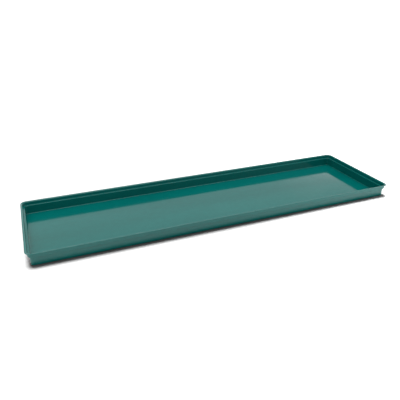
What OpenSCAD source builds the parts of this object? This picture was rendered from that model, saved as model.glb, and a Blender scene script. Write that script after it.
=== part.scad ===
// Long, shallow drip tray: one thin-walled moulding with a flat floor.
// The wall goes all the way round. From the rim down it is a brim that curls over outward,
// a steep upper wall, a narrow level ledge and a steep lower wall that is rounded into the floor.
// The tray stands on its flat underside at z = 0, centred on the origin, with its length along X.

/* [Tray] */
// Length over the rim
tray_l = 1000; // [600:10:1400]
// Width over the rim
tray_w = 282; // [160:2:500]
// Height of the rim above the surface that the tray stands on
tray_h = 35; // [28:1:60]
// Thickness of the walls and of the floor
skin = 1.8; // [1.4:0.1:2.4]

/* [Wall] */
// Depth of the ledge below the rim
upper_h = 10; // [7:0.5:14]
// Radius that the brim curls over outward, on its upper side
curl_r = 3.7; // [2.8:0.1:4.2]
// How far the upper wall leans outward between the ledge and the curl
upper_draft = 0.3; // [0.2:0.1:0.6]
// Width of the level ledge
ledge_w = 4; // [2:0.1:4.2]
// How far the lower wall leans inward from the ledge to the base
draft_in = 0.6; // [0.4:0.1:1.2]

/* [Rounding] */
// Corner radius of the rim, seen from above
rim_r = 16; // [16:1:40]
// Radius of the rim's outer top edge
rim_round = 0.6; // [0.3:0.1:0.8]
// Radius where the wall meets the floor inside
floor_fillet = 1.5; // [1:0.25:2.5]
// Radius of the outer bottom edge
base_round = 2; // [1:0.25:3]

/* [Hidden] */

$fn = 96;
// Steps in each quarter round of the wall's outline
arc_steps = 6;

// Insets from the rim's outer edge: foot of the upper wall, edge of the ledge, foot of the lower wall
upper_inset = curl_r + upper_draft;
ledge_inset = upper_inset + ledge_w;
base_inset = ledge_inset + draft_in;

// Heights of the ledge's upper and lower face
ledge_z = tray_h - upper_h;
under_ledge_z = ledge_z - skin;

// Straight lengths between the corner arcs
run_l = tray_l - 2 * rim_r;
run_w = tray_w - 2 * rim_r;

// Points along an arc about [x, z], from one angle to another
function arc(x, z, r, from, to) =
    [for (i = [0:arc_steps]) let (a = from + (to - from) * i / arc_steps) [x + r * cos(a), z + r * sin(a)]];

// Distance from the corner's upright axis to a point that is inset from the rim's outer edge
function reach(inset) = rim_r - inset;

// Outline of the wall and the strip of floor below it, cut square to the rim:
// up the outside, over the rim, down the inside and back along the floor
wall_outline = concat(
    [[0, 0]],
    arc(reach(base_inset) - base_round, base_round, base_round, -90, 0),
    [[reach(ledge_inset), under_ledge_z], [reach(upper_inset), under_ledge_z]],
    arc(reach(skin), tray_h - curl_r, curl_r - skin, 180, 90),
    [[reach(0), tray_h - skin]],
    arc(reach(rim_round), tray_h - rim_round, rim_round, 0, 90),
    arc(reach(skin), tray_h - curl_r, curl_r, 90, 180),
    [[reach(upper_inset + skin), ledge_z], [reach(ledge_inset + skin), ledge_z]],
    arc(reach(base_inset + skin + floor_fillet), skin + floor_fillet, floor_fillet, 0, -90),
    [[0, skin]]
);

// A quarter turn of the wall about the corner's axis
module corner() {
    rotate_extrude(angle = 90) polygon(wall_outline);
}

// A straight run of the wall along +X, facing +Y
module run(length) {
    rotate([90, 0, 90]) linear_extrude(length) polygon(wall_outline);
}

// Half of the wall: a long side, a corner, an end and a corner
module half_wall() {
    translate([-run_l / 2, run_w / 2, 0]) run(run_l);
    translate([run_l / 2, run_w / 2, 0]) corner();
    translate([run_l / 2, run_w / 2, 0]) rotate([0, 0, -90]) run(run_w);
    translate([run_l / 2, -run_w / 2, 0]) rotate([0, 0, -90]) corner();
}

module tray() {
    color([0.05, 0.42, 0.39]) union() {
        half_wall();
        rotate([0, 0, 180]) half_wall();
        translate([-run_l / 2, -run_w / 2, 0]) cube([run_l, run_w, skin]);
    }
}

tray();
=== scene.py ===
# %% [markdown]
# # A long, shallow drip tray
# The real object is one thin plastic moulding: a flat floor, a low wall all the way round, a narrow
# ledge part of the way up, and a brim that curls over outward. The design is already packed, so this
# script loads it as a fixed frame and makes only the looks: a finer mesh, the plastic, the light and
# the camera.

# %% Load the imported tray
import math

import bmesh
import bpy
from mathutils import Euler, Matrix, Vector


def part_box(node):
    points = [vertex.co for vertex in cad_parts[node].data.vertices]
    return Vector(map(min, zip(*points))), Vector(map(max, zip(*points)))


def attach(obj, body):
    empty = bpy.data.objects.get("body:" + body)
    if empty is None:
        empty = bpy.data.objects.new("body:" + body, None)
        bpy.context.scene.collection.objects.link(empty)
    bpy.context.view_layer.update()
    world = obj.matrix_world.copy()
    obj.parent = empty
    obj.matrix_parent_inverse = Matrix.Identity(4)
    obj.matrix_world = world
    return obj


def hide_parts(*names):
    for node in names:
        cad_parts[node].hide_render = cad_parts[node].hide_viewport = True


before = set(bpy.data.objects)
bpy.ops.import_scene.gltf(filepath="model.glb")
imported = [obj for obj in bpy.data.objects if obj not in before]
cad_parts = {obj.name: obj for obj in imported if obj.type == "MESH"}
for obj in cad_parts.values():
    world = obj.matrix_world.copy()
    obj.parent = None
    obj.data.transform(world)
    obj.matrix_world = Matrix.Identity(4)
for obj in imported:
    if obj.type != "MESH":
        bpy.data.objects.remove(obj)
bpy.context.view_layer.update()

low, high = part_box("tray")
length, width, height = high - low
print(f"tray: {length * 1000:.0f} x {width * 1000:.0f} x {height * 1000:.0f} mm")

# %% [markdown]
# ## The camera
# A long tray looks longest from just off its near corner, so the camera stands in front of the left
# end and looks down along the tray. The place is given in tray lengths and the direction as two
# angles: how far the view turns to the right, and how far it dips. A short telephoto lens would
# flatten the taper of the sides, so this one is close to a normal lens.

# %% Camera
CAMERA_PLACE = Vector((-0.4493, -1.0285, 0.5605)) * length
TURN = math.radians(21.92)
DIP = math.radians(25.98)
LENS = 39.84

camera_data = bpy.data.cameras.new("camera")
camera_data.lens = LENS
camera_data.sensor_width = 36
camera = bpy.data.objects.new("camera", camera_data)
camera.location = CAMERA_PLACE
camera.rotation_euler = Euler((math.pi / 2 - DIP, 0, -TURN))
bpy.context.scene.collection.objects.link(camera)
bpy.context.scene.camera = camera
print("camera is", round(CAMERA_PLACE.length, 3), "m from the middle of the underside")

# %% [markdown]
# ## The table
# The tray lies on a plain pale table. A table that only the soft surroundings light shows a wide, faint
# shadow, while a studio table that is lit from above, a little behind the tray, burns out to white and
# keeps one narrow dark shadow along the front. So the table has its own broad lamp, linked to it alone,
# as a photographer would flag it off the product. The table is darker than it looks, which keeps the
# shadow deep. Its colour is painted paler toward the right. This is painted light, a brighter patch of
# table that the tray's front wall shows in its reflection there.

# %% Table and its lamp
FLOOR_REACH = 60.0
FLOOR_GAP = 0.0002
# The table colour runs from TABLE_DARK to TABLE_PAINTED_LIGHT_PALE toward the right: painted light, brighter
# on the right.
TABLE_DARK = 0.10
TABLE_PAINTED_LIGHT_PALE = 0.16
TABLE_LAMP = 33
LAMP_BACK = math.radians(9.5)
LAMP_LEFT = math.radians(2.5)
LAMP_WIDTH = math.radians(27)


def add_node(tree, kind, inputs=None, **settings):
    node = tree.nodes.new(kind)
    for name, value in settings.items():
        setattr(node, name, value)
    for name, value in (inputs or {}).items():
        if isinstance(value, bpy.types.NodeSocket):
            tree.links.new(value, node.inputs[name])
        else:
            node.inputs[name].default_value = value
    return node


def add_floor():
    bm = bmesh.new()
    bmesh.ops.create_grid(bm, x_segments=1, y_segments=1, size=FLOOR_REACH)
    bmesh.ops.translate(bm, vec=(0, 0, low.z - FLOOR_GAP), verts=bm.verts)
    mesh = bpy.data.meshes.new("floor")
    bm.to_mesh(mesh)
    bm.free()
    floor = bpy.data.objects.new("floor", mesh)
    bpy.context.scene.collection.objects.link(floor)
    paint = bpy.data.materials.new("floor_white")
    paint.use_nodes = True
    shader = paint.node_tree.nodes["Principled BSDF"]
    place = add_node(paint.node_tree, "ShaderNodeTexCoord").outputs["Object"]
    across = add_node(paint.node_tree, "ShaderNodeSeparateXYZ", {"Vector": place}).outputs["X"]
    # Painted light: the table colour grows paler toward the right, so the tray reflects a brighter table
    # there.
    shade = add_node(paint.node_tree, "ShaderNodeMapRange", {
        "Value": across, "From Min": 0.0, "From Max": length * 0.6,
        "To Min": TABLE_DARK, "To Max": TABLE_PAINTED_LIGHT_PALE}).outputs["Result"]
    paint.node_tree.links.new(shade, shader.inputs["Base Color"])
    shader.inputs["Roughness"].default_value = 0.9
    shader.inputs["Specular IOR Level"].default_value = 0.1
    mesh.materials.append(paint)
    return floor


def add_table_lamp(floor):
    lamp_data = bpy.data.lights.new("table_lamp", "SUN")
    lamp_data.energy = TABLE_LAMP
    lamp_data.angle = LAMP_WIDTH
    lamp = bpy.data.objects.new("table_lamp", lamp_data)
    lamp.rotation_euler = Euler((-LAMP_BACK, -LAMP_LEFT, 0))
    bpy.context.scene.collection.objects.link(lamp)
    lit = bpy.data.collections.new("lit_by_table_lamp")
    lit.objects.link(floor)
    lamp.light_linking.receiver_collection = lit
    return lamp


floor = add_floor()
lamp = add_table_lamp(floor)
print("table lamp shines along", [round(v, 2) for v in lamp.rotation_euler.to_matrix() @ Vector((0, 0, -1))])

# %% [markdown]
# ## The surroundings
# A glossy tray mostly shows what stands round it. Lamps would leave hard patches, so the studio is
# painted on the sky instead: a bright ceiling, a paler wall behind the tray that lays a sheen on its
# floor, a strip light low on the right, and black flags that keep the walls deep in colour. Each band
# of height has its own ring of brightness, and the ceiling takes over above them. The rings only light
# the tray and show in it: straight behind it, every view has the same plain pale backdrop.

# %% Studio sky
BRIGHTEST = 4.0
RINGS_OF_LIGHT = (
    (0, ((-180, 0.3), (-120, 0.3), (-60, 0.3), (-45, 0.0), (-20, 0.1), (15, 0.2),
         (25, 2.6), (55, 2.6), (70, 1.0), (105, 0.8), (115, 0.0), (166, 0.0), (180, 0.3))),
    (12, ((-180, 0.1), (-115, 0.1), (-60, 0.3), (-48, 0.0), (-18, 0.0), (-12, 3.2),
          (18, 3.2), (25, 1.0), (55, 0.9), (65, 1.3), (105, 1.3), (115, 0.0), (166, 0.0),
          (180, 0.1))),
    (21, ((-180, 0.1), (-115, 0.1), (-60, 0.3), (-48, 0.0), (-18, 0.0), (-12, 0.85),
          (55, 0.8), (65, 1.1), (105, 1.1), (115, 0.03), (166, 0.03), (180, 0.1))),
    (37, ((-180, 1.1), (-60, 1.2), (-50, 0.5), (-15, 0.5), (20, 0.9), (30, 2.0),
          (55, 2.0), (70, 1.6), (110, 1.1), (180, 1.1))),
    (60, ((-180, 2.4), (180, 2.4))),
)
BACKDROP = 1.05
SOFTNESS = 1.5


def add_ring(tree, around, stops):
    ramp = add_node(tree, "ShaderNodeValToRGB", {"Fac": around})
    ramp.color_ramp.elements.remove(ramp.color_ramp.elements[1])
    for i, (angle, strength) in enumerate(stops):
        spot = ramp.color_ramp.elements[0] if i == 0 else ramp.color_ramp.elements.new(0.5)
        spot.position = (angle + 180) / 360
        spot.color = (strength / BRIGHTEST,) * 3 + (1,)
    return ramp.outputs["Color"]


def add_step(tree, value, middle, half):
    step = add_node(tree, "ShaderNodeMapRange", {"Value": value})
    step.inputs["From Min"].default_value = math.radians(middle - half)
    step.inputs["From Max"].default_value = math.radians(middle + half)
    return step.outputs["Result"]


def add_mix(tree, factor, first, second):
    mix = tree.nodes.new("ShaderNodeMix")
    mix.data_type = "RGBA"
    tree.links.new(factor, mix.inputs[0])
    for socket, value in ((mix.inputs[6], first), (mix.inputs[7], second)):
        if isinstance(value, bpy.types.NodeSocket):
            tree.links.new(value, socket)
        else:
            socket.default_value = value
    return mix.outputs[2]


def add_surroundings():
    world = bpy.data.worlds.new("studio")
    world.use_nodes = True
    tree = world.node_tree
    where = add_node(tree, "ShaderNodeTexCoord").outputs["Generated"]
    split = add_node(tree, "ShaderNodeSeparateXYZ", {"Vector": where})
    turn = add_node(tree, "ShaderNodeMath", operation="ARCTAN2")
    tree.links.new(split.outputs["X"], turn.inputs[0])
    tree.links.new(split.outputs["Y"], turn.inputs[1])
    around = add_node(tree, "ShaderNodeMapRange", {
        "Value": turn.outputs[0], "From Min": -math.pi, "From Max": math.pi}).outputs["Result"]
    lift = add_node(tree, "ShaderNodeMath", operation="ARCSINE")
    tree.links.new(split.outputs["Z"], lift.inputs[0])
    height_angle = lift.outputs[0]
    sky = None
    for from_angle, stops in RINGS_OF_LIGHT:
        ring = add_ring(tree, around, stops)
        if sky is None:
            sky = ring
        else:
            sky = add_mix(tree, add_step(tree, height_angle, from_angle, SOFTNESS), sky, ring)
    seen = add_node(tree, "ShaderNodeLightPath").outputs["Is Camera Ray"]
    plain = (BACKDROP / BRIGHTEST,) * 3 + (1,)
    tree.links.new(add_mix(tree, seen, sky, plain), tree.nodes["Background"].inputs["Color"])
    tree.nodes["Background"].inputs["Strength"].default_value = BRIGHTEST
    bpy.context.scene.world = world
    return len(tree.nodes)


print("studio sky:", add_surroundings(), "nodes")
bpy.context.scene.view_settings.view_transform = "Standard"

# %% [markdown]
# ## The moulding
# The tray could be a spun corner joined to straight runs, or a sheet with a Solidify modifier. Here it
# is made the way its mould is drawn: from the outline of the rim, each step inward and downward is
# one inset. The upper face steps in and down to make the inside, and the lower face does the same for
# the outside, so both skins follow the same corners. Small steps round a quarter circle make the curl
# of the brim, and single steps make the walls and the ledge.

# %% Dimensions of the wall
MM = 0.001
SKIN = 1.8 * MM
UPPER_DEPTH = 10 * MM
CURL = 3.7 * MM
UPPER_DRAFT = 0.3 * MM
LEDGE = 4.0 * MM
LOWER_DRAFT = 0.6 * MM
RIM_RADIUS = 16 * MM
CORNER_STEPS = 20
CURL_STEPS = 7


def quarter(radius, steps):
    """Steps inward and down along a quarter circle that starts level and ends upright."""
    angles = [math.pi / 2 * i / steps for i in range(steps + 1)]
    return [
        (radius * (math.sin(b) - math.sin(a)), radius * (math.cos(a) - math.cos(b)))
        for a, b in zip(angles, angles[1:])]


print("curl of the brim:", [(round(x / MM, 2), round(y / MM, 2)) for x, y in quarter(CURL, CURL_STEPS)])

# %% Rim outline
RINGS = {}


def rim_outline(bm):
    bmesh.ops.create_grid(bm, x_segments=1, y_segments=1, size=0.5)
    bmesh.ops.scale(bm, vec=(length, width, 1), verts=bm.verts)
    bmesh.ops.translate(bm, vec=(0, 0, high.z), verts=bm.verts)
    bmesh.ops.bevel(
        bm, geom=bm.verts[:], offset=RIM_RADIUS, offset_type="OFFSET", segments=CORNER_STEPS,
        profile=0.5, affect="VERTICES", material=-1)
    return bm.faces[:][0]


def step_in(bm, face, inward, outward):
    bmesh.ops.inset_region(
        bm, faces=[face], thickness=inward, depth=outward, use_even_offset=True, use_boundary=True)


def mark(face, name):
    number = RINGS.setdefault(name, len(RINGS) + 1)
    for edge in face.edges:
        edge[ring] = number


bm = bmesh.new()
ring = bm.edges.layers.int.new("ring")
wear = bm.loops.layers.float.new("wear")
top = rim_outline(bm)
print("rim outline:", len(top.verts), "points")

# %% Brim and walls, inside and outside
lifted = bmesh.ops.extrude_face_region(bm, geom=[top])["geom"]
under = [f for f in lifted if isinstance(f, bmesh.types.BMFace)][0]
bmesh.ops.translate(bm, vec=(0, 0, -SKIN), verts=under.verts)
bmesh.ops.recalc_face_normals(bm, faces=bm.faces)
top = max(bm.faces, key=lambda f: f.calc_center_median().z * (len(f.verts) > 4))
under = min((f for f in bm.faces if len(f.verts) > 4), key=lambda f: f.calc_center_median().z)
mark(top, "rim outside")
mark(under, "lip underside")

ledge_depth = UPPER_DEPTH + SKIN
inside_steps = [("rim inside", SKIN, 0)]
inside_steps += [("curl", x, y) for x, y in quarter(CURL, CURL_STEPS)]
inside_steps += [
    ("foot of the upper wall", UPPER_DRAFT, UPPER_DEPTH - CURL),
    ("edge of the ledge", LEDGE, 0),
    ("floor", LOWER_DRAFT, height - UPPER_DEPTH - SKIN),
]
outside_steps = [("start of the under-curl", SKIN, 0)]
outside_steps += [("under-curl", x, y) for x, y in quarter(CURL - SKIN, CURL_STEPS)]
outside_steps += [
    ("outer foot of the upper wall", UPPER_DRAFT, ledge_depth - CURL),
    ("outer edge of the ledge", LEDGE, 0),
    ("base", LOWER_DRAFT, height - ledge_depth),
]
for name, inward, down in inside_steps:
    step_in(bm, top, inward, -down)
    mark(top, name)
for name, inward, down in outside_steps:
    step_in(bm, under, inward, down)
    mark(under, name)
print("moulding before rounding:", len(bm.faces), "faces")

# %% [markdown]
# ## Rounded edges and where they wear
# Moulded plastic has no sharp edges, and each rounding catches a thin line of light. A tray that is
# stacked, slid and wiped loses its shine first on its proud edges, and a material can't find those by
# itself. So each rounding leaves a number on the mesh, and the plastic reads it later. The number sits
# on face corners, because on shared points it would bleed over the whole flat floor.

# %% Round the edges
ROUNDING = (
    ("floor", 1.5 * MM, 5, 0.0),
    ("base", 2.0 * MM, 5, 0.7),
    ("edge of the ledge", 0.8 * MM, 4, 0.3),
    ("foot of the upper wall", 0.5 * MM, 3, 0.0),
    ("outer foot of the upper wall", 0.8 * MM, 4, 0.4),
    ("outer edge of the ledge", 0.6 * MM, 3, 0.0),
    ("rim outside", 0.6 * MM, 4, 1.0),
    ("lip underside", 0.4 * MM, 3, 0.4),
)

WEAR_AT_BORDER = 0.3


def leave_wear(faces, amount):
    faces = set(faces)
    for face in faces:
        for corner in face.loops:
            inside = all(near in faces for near in corner.vert.link_faces)
            corner[wear] = amount if inside else amount * WEAR_AT_BORDER


for name, radius, steps, amount in ROUNDING:
    edges = [e for e in bm.edges if e[ring] == RINGS[name]]
    rounded = bmesh.ops.bevel(
        bm, geom=edges, offset=radius, offset_type="OFFSET", segments=steps, profile=0.5,
        affect="EDGES", material=-1, clamp_overlap=True)
    leave_wear(rounded["faces"], amount)
    print(name, len(edges), "edges rounded to", round(radius / MM, 1), "mm")
bmesh.ops.remove_doubles(bm, verts=bm.verts, dist=1e-6)
bmesh.ops.recalc_face_normals(bm, faces=bm.faces)
for face in bm.faces:
    face.smooth = True
print("moulding:", len(bm.faces), "faces, open edges:", sum(not e.is_manifold for e in bm.edges))

mesh = bpy.data.meshes.new("tray_moulding")
bm.to_mesh(mesh)
bm.free()
tray = bpy.data.objects.new("tray_moulding", mesh)
bpy.context.scene.collection.objects.link(tray)
weigh = tray.modifiers.new("even_shading", "WEIGHTED_NORMAL")
weigh.mode = "FACE_AREA"
weigh.weight = 100
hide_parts("tray")
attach(tray, "root")

# %% [markdown]
# ## The plastic
# The real tray is one glossy blue-green plastic, coloured right through. Moulded plastic is never quite
# even: the pigment streams a little as the melt runs along the tray, the skin has a very fine orange
# peel, wiping leaves hair-fine scratches, and proud edges turn paler and duller. A painted picture
# could hold all this, but noise textures that read the object's own coordinates, in metres, stay at
# their true size wherever the tray is seen from.

# %% Colours and sizes of the plastic
DEEP = (0.0, 0.122, 0.110, 1)
PLAIN = (0.0, 0.143, 0.129, 1)
PALE = (0.001, 0.163, 0.148, 1)
SCUFFED = (0.045, 0.235, 0.215, 1)
GLOSS = 0.085
STREAM = (1.6, 9.0, 9.0)
MOTTLE_SIZE = 70.0
PEEL_SIZE = 420.0
GRAIN_SIZE = 2600.0
HAIR = (14.0, 900.0, 900.0)
HAIR_TURNS = (9, -34, 78)
HAIR_DULLING = 0.06
WEAR_PALING = 0.5
WEAR_DULLING = 0.35
UNDERSIDE_FADE = (1.2 * MM, 0.3 * MM)

plastic = bpy.data.materials.new("blue_green_plastic")
plastic.use_nodes = True
tree = plastic.node_tree
shader = tree.nodes["Principled BSDF"]
shader.inputs["IOR"].default_value = 1.5
mesh.materials.append(plastic)
place = add_node(tree, "ShaderNodeTexCoord").outputs["Object"]


def noise(size, detail=3.0, scale=(1, 1, 1), turn=0.0):
    spot = add_node(tree, "ShaderNodeMapping", {"Vector": place, "Scale": scale})
    spot.inputs["Rotation"].default_value = (0, 0, math.radians(turn))
    cloud = add_node(tree, "ShaderNodeTexNoise", {"Vector": spot.outputs[0], "Scale": size, "Detail": detail})
    return cloud.outputs[0]


def remap(value, start, end, low_value, high_value):
    return add_node(tree, "ShaderNodeMapRange", {
        "Value": value, "From Min": start, "From Max": end,
        "To Min": low_value, "To Max": high_value}).outputs["Result"]


def combine(operation, first, second):
    step = add_node(tree, "ShaderNodeMath", operation=operation)
    for socket, value in zip(step.inputs, (first, second)):
        if isinstance(value, bpy.types.NodeSocket):
            tree.links.new(value, socket)
        else:
            socket.default_value = value
    return step.outputs[0]


# %% Streams and mottling in the colour
stream = noise(1.0, 4.0, STREAM)
mottle = noise(MOTTLE_SIZE, 2.0)
tint = combine("ADD", remap(stream, 0.3, 0.7, 0.0, 0.75), remap(mottle, 0.3, 0.7, 0.0, 0.25))
shades = add_node(tree, "ShaderNodeValToRGB", {"Fac": tint})
shades.color_ramp.elements[0].color = DEEP
shades.color_ramp.elements[1].color = PALE
middle = shades.color_ramp.elements.new(0.5)
middle.color = PLAIN
colour = shades.outputs["Color"]
print("colour runs from", DEEP[:3], "to", PALE[:3])

# %% [markdown]
# ## Wear and the underside
# The number left on each rounding says how exposed that edge is, and a patchy noise breaks it up, so
# the rim is rubbed in places and not drawn round with a line. The underside stands on grit and is
# scuffed all over, so it is paler and duller than the inside.

# %% Worn edges
exposed = add_node(tree, "ShaderNodeAttribute", attribute_name="wear").outputs["Fac"]
patchy = remap(noise(55.0, 5.0), 0.42, 0.66, 0.08, 1.0)
rubbed = combine("MULTIPLY", exposed, patchy)
height_above = add_node(tree, "ShaderNodeSeparateXYZ", {"Vector": place}).outputs["Z"]
fade_top, fade_bottom = UNDERSIDE_FADE
below = remap(height_above, low.z + fade_top, low.z + fade_bottom, 0.0, 1.0)
grit = remap(noise(160.0, 6.0, (0.3, 1, 1), 20), 0.5, 0.72, 0.15, 0.8)
scuffed_base = combine("MULTIPLY", below, grit)
worn = combine("MAXIMUM", combine("MULTIPLY", rubbed, WEAR_PALING), scuffed_base)
colour = add_mix(tree, worn, colour, SCUFFED)
tree.links.new(colour, shader.inputs["Base Color"])

# %% Hair-fine scratches
hairs = None
for turn in HAIR_TURNS:
    strand = remap(noise(1.0, 2.0, HAIR, turn), 0.66, 0.74, 0.0, 1.0)
    broken = remap(noise(9.0, 2.0, turn=turn), 0.5, 0.62, 0.0, 1.0)
    strand = combine("MULTIPLY", strand, broken)
    hairs = strand if hairs is None else combine("MAXIMUM", hairs, strand)
print("scratches run at", HAIR_TURNS, "degrees to the length")

# %% Shine
handled = remap(noise(5.0, 4.0), 0.35, 0.7, -0.02, 0.035)
shine = combine("ADD", handled, GLOSS)
shine = combine("ADD", shine, combine("MULTIPLY", hairs, HAIR_DULLING))
shine = combine("ADD", shine, combine("MULTIPLY", worn, WEAR_DULLING))
tree.links.new(shine, shader.inputs["Roughness"])

# %% Fine relief of the skin
peel = add_node(tree, "ShaderNodeBump", {
    "Height": noise(PEEL_SIZE, 2.0), "Strength": 0.25, "Distance": 0.00002})
grain = add_node(tree, "ShaderNodeBump", {
    "Height": noise(GRAIN_SIZE, 1.0), "Strength": 0.2, "Distance": 0.00001,
    "Normal": peel.outputs["Normal"]})
nicks = combine("ADD", combine("MULTIPLY", hairs, -1.0), combine("MULTIPLY", worn, grit))
relief = add_node(tree, "ShaderNodeBump", {
    "Height": nicks, "Strength": 0.4, "Distance": 0.00002, "Normal": grain.outputs["Normal"]})
tree.links.new(relief.outputs["Normal"], shader.inputs["Normal"])
print("plastic:", len(tree.nodes), "nodes")
